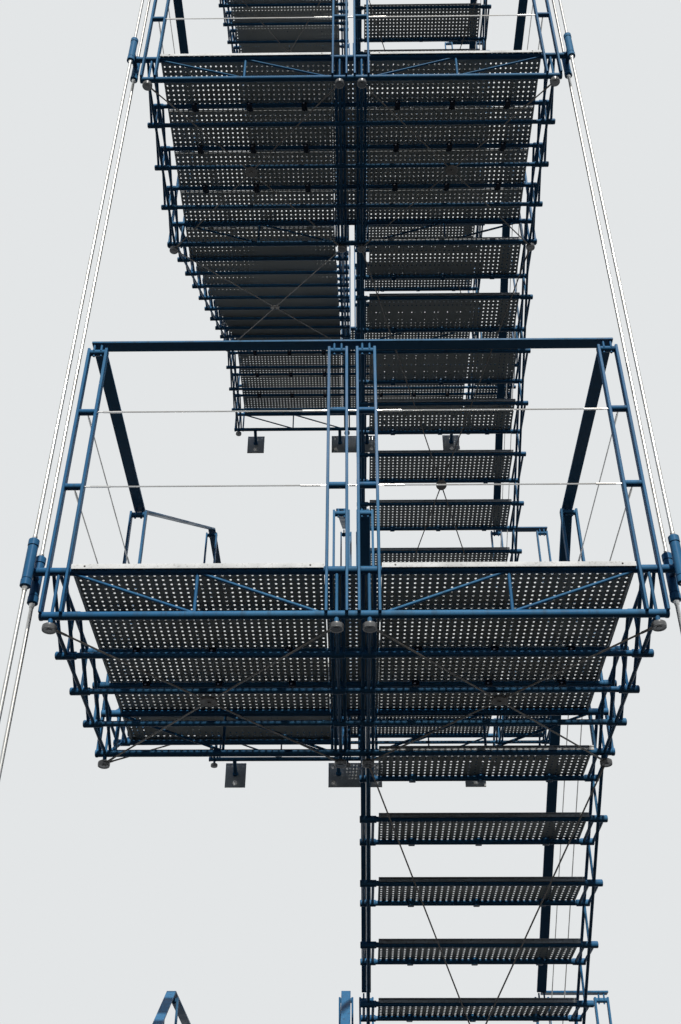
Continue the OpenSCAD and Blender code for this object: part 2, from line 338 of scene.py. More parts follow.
def makePlate():
    material, tree, shader = newMaterial("perforatedPlate")
    marks = addWeather(tree, plateLook["patchScale"], plateLook["speckScale"])
    tone = mixColour(tree, marks["Patches"], plateLook["clean"], plateLook["dull"])
    dirt = mathNode(tree, "MULTIPLY", marks["Specks"], plateLook["dirtShare"])
    colour = mixColour(tree, dirt, tone, plateLook["dirt"])
    # Painted shade darkens the faces that look down, and walked-in dirt the faces that look up
    for sign, name in ((-1, "under"), (1, "walked")):
        mask = facingMask(tree, sign, plateLook["facingRange"], plateLook["facingShare"])
        colour = mixColour(tree, mask, colour, plateLook[name])
    finishMetal(tree, shader, colour, marks["Patches"], plateLook["roughness"], marks["Specks"], plateLook)
    shader.inputs["Specular IOR Level"].default_value = plateLook["specular"]
    return material


brightSteelLook = {
    "clean": (0.60, 0.60, 0.59),
    "stained": (0.34, 0.325, 0.30),
    "roughness": (0.24, 0.44),
    "metallic": 1.0,
}
footSteelLook = {
    "clean": (0.15, 0.155, 0.16),
    "stained": (0.075, 0.075, 0.075),
    "roughness": (0.28, 0.42),
    "metallic": 0.3,
}
dullSteelLook = {
    "clean": (0.080, 0.077, 0.073),
    "stained": (0.042, 0.037, 0.033),
    "roughness": (0.50, 0.70),
    "metallic": 0.3,
}


# What the three steels share
steelFinish = {
    "patchScale": 9.0,
    "speckScale": 260.0,
    "stainShare": 0.7,
    "bump": 0.08,
    "bumpDepth": 0.0004,
}


def makeSteel(name, look):
    material, tree, shader = newMaterial(name)
    marks = addWeather(tree, steelFinish["patchScale"], steelFinish["speckScale"])
    marred = mathNode(tree, "MAXIMUM", marks["Patches"], marks["Specks"])
    stain = mathNode(tree, "MULTIPLY", marred, steelFinish["stainShare"])
    colour = mixColour(tree, stain, look["clean"], look["stained"])
    finishMetal(tree, shader, colour, stain, look["roughness"], marks["Streaks"], steelFinish)
    shader.inputs["Metallic"].default_value = look["metallic"]
    return material


bluePaint = makePaint("bluePaint", bluePaintLook)
darkPaint = makePaint("darkPaint", darkPaintLook)
plateMetal = makePlate()
brightSteel = makeSteel("brightSteel", brightSteelLook)
footSteel = makeSteel("footSteel", footSteelLook)
dullSteel = makeSteel("dullSteel", dullSteelLook)
print("stage: materials made")


# Shape helpers. Each one adds to a bmesh in stair coordinates.
weldGap = 0.00005
thinSides = 8
boltSides = 6


def soften(bm, edges, offset, segments=1):
    bmesh.ops.bevel(bm, geom=edges, offset=offset, offset_type="OFFSET", segments=segments, profile=0.5,
                    affect="EDGES", material=-1)


def addTube(bm, start, end, radius, sides=10):
    axis = end - start
    turn = axis.to_track_quat("Z", "Y").to_matrix().to_4x4()
    made = bmesh.ops.create_cone(bm, cap_ends=True, segments=sides, radius1=radius, radius2=radius,
                                 depth=axis.length, matrix=Matrix.Translation((start + end) / 2) @ turn)
    return made["verts"], axis.normalized()


def addCollar(bm, start, end, radius, sides=12, soft=0.0025):
    verts, axis = addTube(bm, start, end, radius, sides)
    edges = {e for v in verts for e in v.link_edges}
    across = radius * 0.1  # a rim's edge runs across the axis, and a side's along it
    rims = [e for e in edges if abs((e.verts[0].co - e.verts[1].co).dot(axis)) < across]
    soften(bm, rims, soft)


def addBox(bm, low, high, soft=0.0, place=Matrix.Identity(4)):
    size = high - low
    shape = Matrix.Translation((low + high) / 2) @ Matrix.Diagonal((*size, 1))
    made = bmesh.ops.create_cube(bm, size=1, matrix=place @ shape)
    if soft:
        soften(bm, list({e for v in made["verts"] for e in v.link_edges}), soft)


def turnedMesh(name, profile, steps):
    bm = bmesh.new()
    verts = [bm.verts.new((radius, 0, height)) for radius, height in profile]
    edges = [bm.edges.new(pair) for pair in zip(verts, verts[1:])]
    bmesh.ops.spin(bm, geom=verts + edges, cent=(0, 0, 0), axis=(0, 0, 1), angle=math.tau, steps=steps,
                   use_merge=True)
    bmesh.ops.remove_doubles(bm, verts=bm.verts[:], dist=weldGap)
    bmesh.ops.recalc_face_normals(bm, faces=bm.faces[:])
    return keepMesh(bm, name)


def keepMesh(bm, name):
    mesh = bpy.data.meshes.new(name)
    bm.to_mesh(mesh)
    bm.free()
    return mesh


def stamp(bm, mesh, place):
    copy = mesh.copy()
    copy.transform(place)
    if place.determinant() < 0:
        copy.flip_normals()
    bm.from_mesh(copy)
    bpy.data.meshes.remove(copy)


def makePiece(name, parts, material, nodes=(), sharp=40):
    bm = bmesh.new()
    for mesh, place in parts:
        stamp(bm, mesh, place)
    mesh = keepMesh(bm, name)
    mesh.shade_smooth()
    mesh.set_sharp_from_angle(angle=math.radians(sharp))
    mesh.materials.append(material)
    piece = addObject(name, mesh)
    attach(piece, "root")
    if nodes:
        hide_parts(*nodes)


# Trusses: the tubes of the landings and the flights
tubes = {
    "chord": 0.016,
    "chordSides": 18,
    "capLength": 0.012,
    "capStep": 0.0018,
    "past": 0.002,
    "topOuter": 0.026,
    "lowOuter": 0.026,
    "topInner": 0.016,
    "lowInner": 0.034,
    "cross": 0.012,
    "crossSides": 14,
    "crossIn": 0.020,
    "bar": 0.0075,
    "diagonal": 0.0062,
    "upright": 0.006,
    "twin": 0.007,
    "twinGap": 0.044,
    "collar": 0.0162,
    "collarLength": 0.056,
    "crossDrop": 0.013,
    "blockIn": 0.038,
    "upperOver": 0.026,
    "lowerOver": 0.040,
}


def addCrossTube(bm, y, z, radius, left, right, sides=tubes["crossSides"]):
    addTube(bm, Vector((left, y, z)), Vector((right, y, z)), radius, sides)


# The front or rear truss: two tubes with capped ends, and an upright and two diagonals in each bay
def addEdgeTruss(bm, y, topLeft, topRight, lowLeft, lowRight):
    sides = tubes["chordSides"]
    addCrossTube(bm, y, 0, tubes["chord"], topLeft, topRight, sides)
    addCrossTube(bm, y, -trussDepth, tubes["chord"], lowLeft, lowRight, sides)
    cap = tubes["chord"] + tubes["capStep"]
    for x, out in ((lowLeft, 1), (lowRight, -1)):
        addCollar(bm, Vector((x - out * tubes["past"], y, -trussDepth)),
                  Vector((x + out * tubes["capLength"], y, -trussDepth)), cap, sides)
    outer = (stair["sideX"] - tubes["topOuter"], bayX - tubes["lowOuter"])
    inner = (bayX + tubes["topInner"], stair["middleX"] + tubes["lowInner"])
    for s in (-1, 1):
        for top, low in ((bayX, bayX), outer, inner):
            addTube(bm, Vector((s * top, y, 0)), Vector((s * low, y, -trussDepth)), tubes["diagonal"])


def addLandingSide(bm, x):
    for z in (0, -trussDepth):
        addTube(bm, Vector((x, 0, z)), Vector((x, landingDepth, z)), tubes["bar"])
    for j in range(stair["landingGoings"] + 1):
        addTube(bm, Vector((x, j * going, 0)), Vector((x, j * going, -trussDepth)), tubes["upright"])
    for offset in (-tubes["twinGap"] / 2, tubes["twinGap"] / 2):
        for j in range(stair["landingGoings"]):
            addTube(bm, Vector((x + offset, j * going, 0)),
                    Vector((x + offset, (j + 1) * going, -trussDepth)), tubes["twin"])


def addCrossCollar(bm, y, z, left, right):
    addCollar(bm, Vector((left, y, z)), Vector((right, y, z)), tubes["collar"])


# The lower collars at the two ends run out past the ends of their tubes
def landingTubes(name, topLeft, topRight, lowLeft, lowRight, trusses):
    bm = bmesh.new()
    addEdgeTruss(bm, 0, topLeft, topRight, lowLeft, lowRight)
    addEdgeTruss(bm, landingDepth, lowLeft, lowRight, lowLeft, lowRight)
    half = tubes["collarLength"] / 2
    drop = tubes["crossDrop"]
    for j in range(1, stair["landingGoings"]):
        y = j * going
        addCrossTube(bm, y, -drop, tubes["cross"], lowLeft + tubes["crossIn"], lowRight - tubes["crossIn"])
        addCrossTube(bm, y, -trussDepth, tubes["cross"], lowLeft, lowRight)
        for x in trusses:
            addCrossCollar(bm, y, -drop, x - half, x + half)
            if x == trusses[0]:
                addCrossCollar(bm, y, -trussDepth, lowLeft - tubes["past"], x + tubes["blockIn"])
            elif x == trusses[-1]:
                addCrossCollar(bm, y, -trussDepth, x - tubes["blockIn"], lowRight + tubes["past"])
            else:
                addCrossCollar(bm, y, -trussDepth, x - half, x + half)
    for x in trusses:
        addLandingSide(bm, x)
    return keepMesh(bm, name)


# The round foot below the edge tubes, where the braces of the underside meet
foot = {
    "stub": 0.033,
    "stubRadius": 0.009,
    "stubSides": 12,
    "steps": 16,
    "profile": [(0.0, 0.0), (0.0115, 0.0), (0.0115, -0.004), (0.021, -0.0055), (0.0265, -0.010),
                (0.0272, -0.0225), (0.0260, -0.0245), (0.0260, -0.0285), (0.0235, -0.030),
                (0.0215, -0.0270), (0.0110, -0.0270), (0.0110, -0.0295), (0.0, -0.0295)],
}
footMesh = turnedMesh("footProfile", foot["profile"], foot["steps"])
footSpots = [Vector((x, y, -trussDepth - foot["stub"])) for x in trussXs for y in (0, landingDepth)]
footPlaces = [Matrix.Translation(spot) for spot in footSpots]


def footStubs():
    bm = bmesh.new()
    for spot in footSpots:
        addTube(bm, Vector((spot.x, spot.y, -trussDepth)), spot, foot["stubRadius"], foot["stubSides"])
    return keepMesh(bm, "footStubs")


# Rod sleeves at the front corners of the outer landings
sleeve = {
    "rodX": 1.194,
    "rodY": 0.058,
    "length": 0.212,
    "radius": 0.019,
    "step": 0.0015,
    "bore": 0.0078,
    "collar": 0.030,
    "chamfer": 0.004,
    "slope": 0.001,
    "groove": 0.0035,
    "steps": 24,
    "nut": [(0.0, -0.002), (0.0042, -0.002), (0.0036, 0.005), (0.0018, 0.007)],
    "neck": 0.016,
    "neckWall": 0.0014,
    "neckSteps": 20,
    "arm": 0.013,
    "armSides": 16,
}


# A tube with a wider collar at each end, set off by a groove
def sleeveProfile():
    end = sleeve["length"] / 2
    radius = sleeve["radius"]
    wide = radius + sleeve["step"]
    narrow = radius - sleeve["step"]
    seam = end - sleeve["collar"]
    low = seam - sleeve["groove"]
    half = [(sleeve["bore"], end), (wide - sleeve["chamfer"], end), (wide, end - sleeve["chamfer"]),
            (wide, seam + sleeve["slope"]), (narrow, seam), (narrow, low), (radius, low - sleeve["slope"])]
    return half + [(x, -z) for x, z in reversed(half)]


# A round nut on the end of the sleeve, and the threaded neck that stands out of it
def neckProfile(sign):
    end = sleeve["length"] / 2
    points = sleeve["nut"] + [(sleeve["neckWall"], sleeve["neck"]), (0.0, sleeve["neck"])]
    return [(sleeve["bore"] + out, sign * (end + up)) for out, up in points]


sleeveMesh = turnedMesh("sleeveProfile", sleeveProfile(), sleeve["steps"])
neckMeshes = [turnedMesh("neckProfile", neckProfile(sign), sleeve["neckSteps"]) for sign in (-1, 1)]
rodSpots = [Vector((s * sleeve["rodX"], t * sleeve["rodY"], 0)) for s in (-1, 1) for t in (-1, 1)]
rodPlaces = [Matrix.Translation(spot) for spot in rodSpots]


def sleeveArms():
    bm = bmesh.new()
    for s in (-1, 1):
        x = s * sleeve["rodX"]
        addTube(bm, Vector((x, -sleeve["rodY"], 0)), Vector((x, sleeve["rodY"], 0)), sleeve["arm"],
                sleeve["armSides"])
    return keepMesh(bm, "sleeveArms")


# Arms from the rear truss of an inner landing to its wall plates
wallArm = {
    "x": 0.940,
    "middleX": 0.130,
    "radius": 0.015,
    "sides": 14,
    "cup": 0.022,
    "cupStep": 0.006,
    "plate": 0.014,
}


def wallArms():
    bm = bmesh.new()
    reach = landingDepth + stair["wallGap"] - wallArm["plate"]
    for x in (-wallArm["x"], -wallArm["middleX"], wallArm["middleX"], wallArm["x"]):
        start = Vector((x, landingDepth, -trussDepth))
        end = Vector((x, reach, -trussDepth - stair["bracketDrop"]))
        addTube(bm, start, end, wallArm["radius"], wallArm["sides"])
        cup = (end - start).normalized() * wallArm["cup"]
        addCollar(bm, end - cup, end, wallArm["radius"] + wallArm["cupStep"], wallArm["sides"])
    return keepMesh(bm, "wallArms")


halfWidth = stair["halfWidth"]
outerTubes = landingTubes("outerTubes", -sleeve["rodX"], sleeve["rodX"], -halfWidth, halfWidth, trussXs)
innerTubes = landingTubes("innerTubes", -halfWidth, stair["endX"], -halfWidth, stair["endX"],
                          trussXs + [stair["endTrussX"]])
stubs = footStubs()
frameMeshes = {"outer": [outerTubes, stubs, sleeveArms()], "inner": [innerTubes, stubs, wallArms()]}
for side, k, at in landings:
    parts = [(mesh, at) for mesh in frameMeshes[side]]
    if side == "outer":
        parts += [(sleeveMesh, at @ place) for place in rodPlaces]
    makePiece(f"{side}Truss_{k}", parts, bluePaint, [f"{side}_frame_{k}"])
makePiece("landingFeet", [(footMesh, at @ place) for at in landingAts for place in footPlaces], footSteel)
necks = [(mesh, place) for place in rodPlaces for mesh in neckMeshes]
makePiece("sleeveNecks", [(mesh, at @ place) for at in outerAts.values() for mesh, place in necks],
          brightSteel)
print("stage: landing trusses made")


# Perforated planks: rows of round holes, and edges folded down. A plank that follows
# another has a row of slots and a stiffening rib behind its front edge. The holes of the
# landings have walls, whose sunlit sides show from below.
plate = {
    "columns": 33,
    "middleColumns": 8,
    "endColumns": 12,
    "clipColumns": (5, 16, 27),
    "rowPitch": 0.0294,
    "rearRow": 0.0142,
    "rearLeast": 0.9,
    "slottedFirstRow": 0.058,
    "hole": 0.0049,
    "holeSides": 8,
    "walledHole": 0.0053,
    "walledSides": 6,
    "wall": 0.0024,
    "sheetDrop": 0.0008,
    "slotStretch": 0.0068,
    "slot": 0.0034,
    "slotAt": 0.018,
    "ribAt": 0.026,
    "ribDeep": 0.006,
    "thick": 0.003,
    "lip": 0.022,
    "treadSideLip": 0.009,
    "top": 0.019,
    "gap": 0.004,
    "front": 0.025,
    "seam": 0.022,
    "treadWidth": 0.940,
    "hook": 0.018,
    "round": 0.0022,
    "weld": 0.0002,
    "sharp": 30,
}
middleWidth = 2 * bayX - plate["treadWidth"] - 2 * plate["gap"]
endWidth = stair["endX"] - halfWidth - 2 * plate["gap"]
plankFront = plate["seam"] + plate["gap"] / 2
plankRear = going + plate["seam"] - plate["gap"] / 2


# One rectangle of plate, plain or with a hole. The hole can be stretched to a slot, moved
# off the middle, and given a wall.
def cellMesh(width, depth, sides=0, radius=0.0, stretch=0.0, shift=0.0, wall=0.0):
    bm = bmesh.new()
    square = Matrix.Diagonal((width, depth, 1, 1)) @ Matrix.Rotation(math.pi / 4, 4, "Z")
    bmesh.ops.create_circle(bm, cap_ends=not radius, segments=4, radius=math.sqrt(0.5), matrix=square)
    if radius:
        turn = Matrix.Translation((0, shift, 0)) @ Matrix.Rotation(math.pi / sides, 4, "Z")
        hole = bmesh.ops.create_circle(bm, segments=sides, radius=radius, matrix=turn)
        for v in hole["verts"]:
            v.co.x += math.copysign(stretch, v.co.x)
        rim = list({e for v in hole["verts"] for e in v.link_edges})
        bmesh.ops.bridge_loops(bm, edges=bm.edges[:])
        if wall:
            made = bmesh.ops.extrude_edge_only(bm, edges=rim)
            lowered = [v for v in made["geom"] if isinstance(v, bmesh.types.BMVert)]
            bmesh.ops.translate(bm, verts=lowered, vec=(0, 0, -wall))
    if bm.faces[:][0].normal.z < 0:
        bmesh.ops.reverse_faces(bm, faces=bm.faces[:])
    return keepMesh(bm, "cell")


# The sheet spans the plank from x = -width / 2 and y = 0. Its edge is drawn to just inside the rim.
def addSheet(bm, width, depth, columns, slotted, blanks, walled):
    pitch = plate["rowPitch"]
    firstRow = plate["slottedFirstRow"] if slotted else (depth - plate["rearRow"]) % pitch
    rows = int((depth - plate["rearRow"] * plate["rearLeast"] - firstRow) / pitch) + 1
    cellWidth = width / columns
    if walled:
        holes = cellMesh(cellWidth, pitch, plate["walledSides"], plate["walledHole"], wall=plate["wall"])
    else:
        holes = cellMesh(cellWidth, pitch, plate["holeSides"], plate["hole"])
    front = firstRow - pitch / 2
    rear = front + rows * pitch
    sheet = bmesh.new()
    for column in range(columns):
        x = (column + 0.5) * cellWidth - width / 2
        for row in range(rows):
            stamp(sheet, holes, Matrix.Translation((x, firstRow + row * pitch, 0)))
    if slotted:
        slots = cellMesh(cellWidth, front, plate["holeSides"], plate["slot"], plate["slotStretch"],
                         plate["slotAt"] - front / 2)
        blank = cellMesh(cellWidth, front)
        for column in range(columns):
            x = (column + 0.5) * cellWidth - width / 2
            stamp(sheet, blank if column in blanks else slots, Matrix.Translation((x, front / 2, 0)))
        front = 0
    weld = plate["weld"]
    bmesh.ops.remove_doubles(sheet, verts=sheet.verts[:], dist=weld)
    inset = plate["thick"] / 2
    for v in sheet.verts:
        v.co.x = max(inset - width / 2, min(width / 2 - inset, v.co.x))
        if v.co.y < front + weld:
            v.co.y = inset
        elif v.co.y > rear - weld:
            v.co.y = depth - inset
        v.co.z += plate["top"] - plate["sheetDrop"]
    bm.from_mesh(keepMesh(sheet, "sheet"))


# The folded edges: an open box around the plank, with its top outer edges rounded
def addRim(bm, width, depth, sideLip):
    top = plate["top"]
    thick = plate["thick"]
    rim = bmesh.new()
    middle = Matrix.Translation((0, depth / 2, top - sideLip / 2))
    bmesh.ops.create_cube(rim, size=1, matrix=middle @ Matrix.Diagonal((width, depth, sideLip, 1)))
    bmesh.ops.delete(rim, geom=[f for f in rim.faces if abs(f.normal.z) > 0.5], context="FACES_ONLY")
    bmesh.ops.solidify(rim, geom=rim.faces[:], thickness=thick)
    outer = []
    for e in rim.edges:
        spots = [v.co for v in e.verts]
        atTop = all(abs(spot.z - top) < weldGap for spot in spots)
        atSide = all(abs(abs(spot.x) - width / 2) < weldGap for spot in spots)
        atEnd = all(abs(abs(spot.y - depth / 2) - depth / 2) < weldGap for spot in spots)
        if atTop and (atSide or atEnd):
            outer.append(e)
    soften(rim, outer, plate["round"], segments=2)
    bmesh.ops.recalc_face_normals(rim, faces=rim.faces[:])
    bm.from_mesh(keepMesh(rim, "rim"))
    if sideLip < plate["lip"]:
        for y in (0, depth - thick):
            addBox(bm, Vector((-width / 2, y, top - plate["lip"])),
                   Vector((width / 2, y + thick, top - sideLip + thick)))


def plankMesh(name, width, depth, columns, slotted=False, blanks=(), sideLip=plate["lip"], walled=True):
    bm = bmesh.new()
    addSheet(bm, width, depth, columns, slotted, blanks, walled)
    addRim(bm, width, depth, sideLip)
    if slotted:
        half = width / 2 - plate["thick"]
        under = plate["top"] - plate["sheetDrop"]
        addBox(bm, Vector((-half, plate["ribAt"], under - plate["ribDeep"])),
               Vector((half, plate["ribAt"] + plate["thick"], under)))
    return keepMesh(bm, name)


# The planks of a landing: two wide ones a row, a strip between them, which ends early at the
# rear, and with an end a second strip on the right
def deckParts(withEnd):
    rear = plankRear - plankFront
    frontRear = plankRear + plate["front"]
    side = plankMesh("sidePlank", plate["treadWidth"], rear, plate["columns"], True, plate["clipColumns"])
    frontSide = plankMesh("frontSidePlank", plate["treadWidth"], frontRear, plate["columns"])
    inner = plate["gap"] / 2
    goings = stair["landingGoings"]
    strips = [(0, middleWidth, plate["middleColumns"], goings - 1)]
    if withEnd:
        endX = (stair["endX"] + halfWidth) / 2 + plate["gap"]
        strips.append((endX, endWidth, plate["endColumns"], goings))
    parts = []
    for s in (-1, 1):
        parts.append((frontSide, Matrix.Translation((s * bayX, -plate["front"], 0))))
        for j in range(1, goings):
            parts.append((side, Matrix.Translation((s * bayX, j * going + plankFront, 0))))
    for x, width, columns, count in strips:
        frontStrip = plankMesh("frontStrip", width, plankRear - inner, columns)
        parts.append((frontStrip, Matrix.Translation((x, inner, 0))))
        strip = plankMesh("strip", width, rear, columns, True)
        for j in range(1, count):
            parts.append((strip, Matrix.Translation((x, j * going + plankFront, 0))))
    last = landingDepth - inner - (goings - 1) * going - plankFront
    lastStrip = plankMesh("lastStrip", middleWidth, last, plate["middleColumns"], True)
    parts.append((lastStrip, Matrix.Translation((0, landingDepth - inner - last, 0))))
    return parts


def treadParts(first, steps):
    hook = plate["hook"]
    width = plate["treadWidth"]
    columns = plate["columns"]
    tread = plankMesh("tread", width, going + 2 * hook, columns, sideLip=plate["treadSideLip"],
                      walled=False)
    lowest = plankMesh("lowestTread", width, going + hook - plankFront, columns, True,
                       plate["clipColumns"], walled=False)
    parts = []
    for j in range(first, steps):
        y = j * going - hook if j else plankFront
        parts.append((tread if j else lowest, Matrix.Translation((bayX, y, j * riser))))
    return parts


decks = {"outer": deckParts(False), "inner": deckParts(True)}
flightTreads = [treadParts(*span) for span in flightSpans]
for side, k, at in landings:
    makePiece(f"{side}Planks_{k}", [(mesh, at @ place) for mesh, place in decks[side]], plateMetal,
              [f"{side}_deck_{k}"], plate["sharp"])
for k, at in flightAts.items():
    makePiece(f"treadPlates_{k}", [(mesh, at @ place) for mesh, place in flightTreads[k > 1]], plateMetal,
              [f"treads_{k}"], plate["sharp"])
print("stage: perforated planks made")


# Flights: two side trusses and the cross tubes under the treads
def upper(x, j):
    return Vector((x, j * going, j * riser))


def lower(x, j):
    return Vector((x, j * going, j * riser - trussDepth))


footThick = 0.016


def addStringer(bm, x, first, steps, overTop, overLow):
    addTube(bm, upper(x, first), upper(x, steps), tubes["bar"])
    footY = (footThick + trussDepth) * going / riser
    lowStart = Vector((x, footY, footThick)) if first else lower(x, 0)
    addTube(bm, lowStart, lower(x, steps), tubes["bar"])
    if first:
        addTube(bm, upper(x, 1), Vector((x, going, footThick)), tubes["upright"])
    for j in range(1, steps):
        addCollar(bm, upper(x - tubes["blockIn"], j), upper(x + overTop, j), tubes["collar"])
    for j in range(first + 1, steps):
        addTube(bm, upper(x, j), lower(x, j), tubes["upright"])
        addCollar(bm, lower(x - tubes["blockIn"], j), lower(x + overLow, j), tubes["collar"])
    for offset in (-tubes["twinGap"] / 2, tubes["twinGap"] / 2):
        for j in range(first, steps):
            addTube(bm, upper(x + offset, j), lower(x + offset, j + 1), tubes["twin"])


def flightTubes(first, steps):
    bm = bmesh.new()
    addStringer(bm, stair["middleX"], first, steps, tubes["blockIn"], tubes["blockIn"])
    addStringer(bm, stair["flightX"], first, steps, tubes["upperOver"], tubes["lowerOver"])
    left = stair["middleX"]
    right = stair["flightX"]
    for j in range(first, steps):
        if j:
            addTube(bm, upper(left, j), upper(right, j), tubes["cross"], tubes["crossSides"])
        if j < steps - 1:
            addTube(bm, lower(left, j + 1), lower(right, j + 1), tubes["cross"], tubes["crossSides"])
    return keepMesh(bm, "flightTubes")


# Clips that hold the planks on the cross tubes: a saddle, a tongue and a bolt
clip = {
    "spacing": 0.313,
    "width": 0.030,
    "saddleFront": 0.0165,
    "saddleRear": 0.019,
    "saddleDeep": 0.0265,
    "saddleDrop": 0.018,
    "tongue": 0.052,
    "tongueThick": 0.010,
    "overlap": 0.004,
    "boltAt": 0.042,
    "bolt": 0.0075,
    "boltSoft": 0.001,
    "wall": 0.0025,
    "soft": 0.002,
}
plateUnder = plate["top"] - plate["thick"]
clipSpots = (-clip["spacing"], 0, clip["spacing"])


def landingClips():
    bm = bmesh.new()
    half = clip["width"] / 2
    low = -tubes["crossDrop"] - clip["saddleDeep"] / 2
    under = plateUnder - clip["tongueThick"]
    for x in [s * bayX + spot for s in (-1, 1) for spot in clipSpots]:
        for y in [j * going for j in range(1, stair["landingGoings"])]:
            rear = y + clip["saddleRear"]
            addBox(bm, Vector((x - half, y - clip["saddleFront"], low)),
                   Vector((x + half, rear, plateUnder - clip["saddleDrop"])), clip["soft"])
            addBox(bm, Vector((x - half, rear - clip["overlap"], under)),
                   Vector((x + half, y + clip["tongue"], plateUnder)), clip["soft"])
            bolt = Vector((x, y + clip["boltAt"], under))
            addCollar(bm, bolt - Vector((0, 0, clip["bolt"])), bolt, clip["bolt"], boltSides,
                      clip["boltSoft"])
    return keepMesh(bm, "landingClips")


def treadClips(first, steps):
    bm = bmesh.new()
    half = clip["width"] / 2
    reach = tubes["cross"] + clip["wall"]
    for x in [bayX + spot for spot in clipSpots]:
        for j in range(max(first, 1), steps):
            addBox(bm, Vector((x - half, j * going - reach, j * riser - reach)),
                   Vector((x + half, j * going + reach, j * riser + plateUnder)), clip["soft"])
    return keepMesh(bm, "treadClips")


trusses = [flightTubes(*span) for span in flightSpans]
trussClips = [treadClips(*span) for span in flightSpans]
clips = landingClips()
for k, at in flightAts.items():
    makePiece(f"flightTruss_{k}", [(trusses[k > 1], at), (trussClips[k > 1], at)], bluePaint,
              [f"stringers_{k}"])
makePiece("plankClips", [(clips, at) for at in landingAts], darkPaint)
print("stage: flights made")


# Guard posts: two flat bars with short tubes between them and studs under the rail
guard = {
    "height": 1.184,
    "railWidth": 0.055,
    "railBack": 0.005,
    "railThick": 0.012,
    "joint": 0.001,
    "overlap": 0.003,
    "postDrop": 0.022,
    "postIn": 0.002,
    "newelIn": 0.050,
    "barWidth": 0.0115,
    "barDeep": 0.034,
    "gap": 0.075,
    "tie": 0.014,
    "tieSides": 16,
    "tieDrop": 0.016,
    "tieIn": 0.001,
    "stud": 0.0052,
    "studGap": 0.031,
    "studOut": 0.011,
    "studEnd": 0.021,
    "wire": 0.003,
    "terminal": 0.0046,
    "terminalSides": 10,
    "terminalLength": 0.080,
    "terminalShare": 0.42,
    "terminalSoft": 0.0012,
    "neckLength": 0.022,
    "neckPart": 3,
    "neckStep": 0.001,
    "neckSoft": 0.0008,
    "soft": 0.0018,
}
railHalf = guard["railWidth"] / 2
railUnder = guard["height"] - guard["railThick"]
postTop = railUnder - guard["postDrop"]
tieTop = postTop - guard["tieDrop"]
postY = tubes["chord"] - guard["postIn"]
railY = postY - guard["railBack"]
postOut = (guard["gap"] + guard["barWidth"]) / 2
wireHeights = (guard["height"] / 3, guard["height"] * 2 / 3)
newelY = going - guard["newelIn"]


def postMesh(base, out):
    bm = bmesh.new()
    half = Vector((guard["barWidth"] / 2, guard["barDeep"] / 2, 0))
    for x in (-guard["gap"] / 2, guard["gap"] / 2):
        addBox(bm, Vector((x, 0, base)) - half, Vector((x, 0, postTop)) + half, guard["soft"])
    tieHalf = Vector(((guard["gap"] - guard["barWidth"]) / 2 + guard["tieIn"], 0, 0))
    for z in (*wireHeights, tieTop):
        at = Vector((0, 0, z))
        addTube(bm, at - tieHalf, at + tieHalf, guard["tie"], guard["tieSides"])
    y = -out * guard["studOut"]
    for x in (-guard["studGap"] / 2, guard["studGap"] / 2):
        addTube(bm, Vector((x, 0, tieTop - guard["studEnd"])), Vector((x, 0, tieTop)), guard["stud"])
        addTube(bm, Vector((x, y, tieTop)), Vector((x, y, railUnder)), guard["stud"])
    return keepMesh(bm, "post")


landingPost = postMesh(-trussDepth, 1)
newelPost = postMesh(footThick - riser, 0)


# The studs of a landing post stand on the outer side of its tie
def postPlace(x, edge, side):
    return Matrix.Translation((x, edge + side * postY, 0)) @ Matrix.Scale(-side, 4, (0, 1, 0))


frontPosts = [postPlace(x, 0, -1) for x in trussXs]
rearPosts = [postPlace(x, landingDepth, 1) for x in trussXs]
endPost = postPlace(stair["endX"] - postOut, 0, -1)
postPlaces = {"outer": frontPosts + rearPosts, "inner": [*frontPosts, endPost, rearPosts[0]]}
for side, k, at in landings:
    parts = [(landingPost, at @ place) for place in postPlaces[side]]
    if (side, k) == ("inner", 1):
        parts += [(newelPost, flightAts[1] @ Matrix.Translation((x, newelY, riser)))
                  for x in (stair["middleX"], stair["sideX"])]
    makePiece(f"{side}Posts_{k}", parts, bluePaint, [f"{side}_posts_{k}"])


# Handrails and wires. Each rail is given by its ends at the level of the top tubes.
def addHandrail(bm, start, end):
    axis = end - start
    flat = math.atan2(axis.y, axis.x) - math.pi / 2
    rise = math.atan2(axis.z, math.hypot(axis.x, axis.y))
    turn = Matrix.Rotation(flat, 4, "Z") @ Matrix.Rotation(rise, 4, "X")
    place = Matrix.Translation(start + Vector((0, 0, railUnder))) @ turn
    far = Vector((railHalf, axis.length, guard["railThick"]))
    addBox(bm, Vector((-railHalf, 0, 0)), far, guard["soft"], place)


# Each wire ends in a terminal and a neck, which shrink with a short wire
def addWires(bm, start, end):
    axis = (end - start).normalized()
    for z in wireHeights:
        low = start + Vector((0, 0, z))
        high = end + Vector((0, 0, z))
        addTube(bm, low, high, guard["wire"], thinSides)
        reach = min(guard["terminalLength"], (high - low).length * guard["terminalShare"])
        neck = min(guard["neckLength"], reach / guard["neckPart"])
        for tip, way in ((low, axis), (high, -axis)):
            addCollar(bm, tip + way * neck, tip + way * (neck + reach), guard["terminal"],
                      guard["terminalSides"], guard["terminalSoft"])
            addCollar(bm, tip, tip + way * neck, guard["terminal"] - guard["neckStep"], boltSides,
                      guard["neckSoft"])


# The guard along the side of a landing. Its rail starts at the given depth.
def addSideGuard(rails, wires, x, start):
    addHandrail(rails, Vector((x, start, 0)), Vector((x, landingDepth + railY + railHalf, 0)))
    addWires(wires, Vector((x, guard["tie"] - postY, 0)),
             Vector((x, landingDepth + postY - guard["tie"], 0)))


